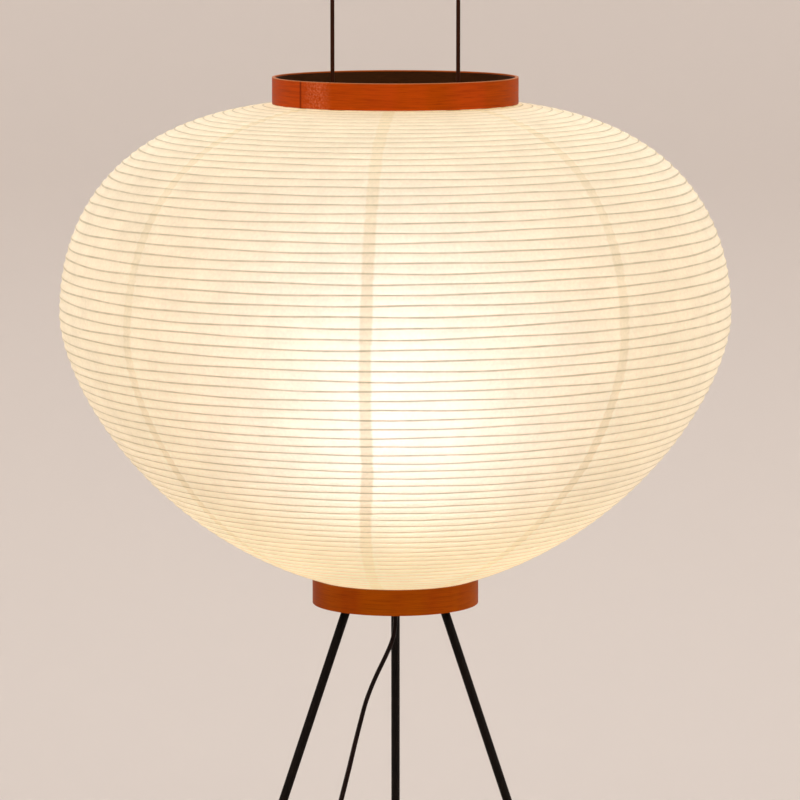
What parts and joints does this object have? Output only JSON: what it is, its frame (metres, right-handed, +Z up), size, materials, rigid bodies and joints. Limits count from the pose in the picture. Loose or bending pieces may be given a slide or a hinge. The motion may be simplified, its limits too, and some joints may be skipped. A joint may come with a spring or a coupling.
{
  "type": "paper lantern floor lamp",
  "caption": "Floor lamp with a wide round paper lantern shade between two bentwood rings, on a slim black rod tripod with a wire carry loop, flat cord, foot switch and plug.",
  "frame": {"origin": "centre of the stand on the floor, on the lamp's vertical axis", "axes": "+Z up along the lamp's axis; -Y is the pictured front; the single leg points to +Y"},
  "size_m": [0.5299, 0.53, 1.22],
  "materials": {
    "black_rod": "satin black paint on steel rod",
    "black_wire": "satin dark brown-black paint on steel wire",
    "stained_wood": "steam-bent veneer, orange-brown stain and satin lacquer",
    "dark_lining": "dark stained veneer, satin",
    "shade_paper": "thin long-fibred mulberry paper, uncoated",
    "bamboo": "split bamboo, natural",
    "black_rubber": "matt rubber",
    "cord_jacket": "smooth PVC, satin",
    "black_plastic": "moulded, fine grained",
    "holder_plastic": "moulded thermoset, gloss",
    "porcelain": "glazed white",
    "brass": "pressed sheet",
    "zinc_steel": "zinc plated",
    "nickel": "nickel plated",
    "opal_glass": "etched opal",
    "black_glass": "fused black glass",
    "cream_plastic": "moulded"
  },
  "bodies": {
    "root": {"hub": "black_rod", "leg_left": "black_rod", "leg_right": "black_rod", "leg_back": "black_rod", "foot_left": "black_rubber", "foot_right": "black_rubber", "foot_back": "black_rubber", "upright_loop": "black_wire", "loop_nuts": "zinc_steel", "stem_tube": "zinc_steel", "stem_nuts": "zinc_steel", "stem_washers": "zinc_steel", "cord_grip": "black_plastic", "inner_lead": "cord_jacket", "holder_cap": "holder_plastic", "holder_shell": "holder_plastic", "holder_insert": "porcelain", "thread_sleeve": "brass", "centre_contact": "brass", "terminals": "brass", "bottom_ring": "stained_wood", "bottom_lining": "dark_lining", "hub_screws": "brass", "paper_skin": "shade_paper", "rib_spiral": "bamboo", "cord_drop": "cord_jacket", "switch_base": "black_plastic", "switch_cover": "black_plastic", "switch_spring": "zinc_steel", "switch_block": "cream_plastic", "switch_screws": "zinc_steel", "cord_tail": "cord_jacket", "cord_coil": "cord_jacket", "coil_tie": "black_plastic", "plug_body": "black_plastic", "plug_pins": "nickel"},
    "top_rim": {"top_ring": "stained_wood", "top_lining": "dark_lining", "rim_arm_left": "black_rod", "rim_arm_right": "black_rod", "arm_screws": "brass"},
    "bulb": {"bulb_glass": "opal_glass", "bulb_cap": "nickel", "bulb_insulator": "black_glass", "bulb_contact": "nickel"},
    "switch_push": {"switch_button": "black_plastic"}
  },
  "joints": [
    {"name": "shade_fold", "type": "slide", "parent": "root", "child": "top_rim", "axis": [0, 0, -1], "range_m": [0, 0.286], "deforming": ["paper_skin", "rib_spiral"]},
    {"name": "bulb_turn", "type": "hinge", "parent": "root", "child": "bulb", "pos_m": [0, 0, 0.65], "axis": [0, 0, 1], "range_deg": [0, 1080]},
    {"name": "switch_press", "type": "slide", "parent": "root", "child": "switch_push", "axis": [0, 0, -1], "range_m": [0, 0.003], "stiffness_N_per_m": 600, "springref_m": -0.003, "deforming": ["switch_spring"]}
  ]
}
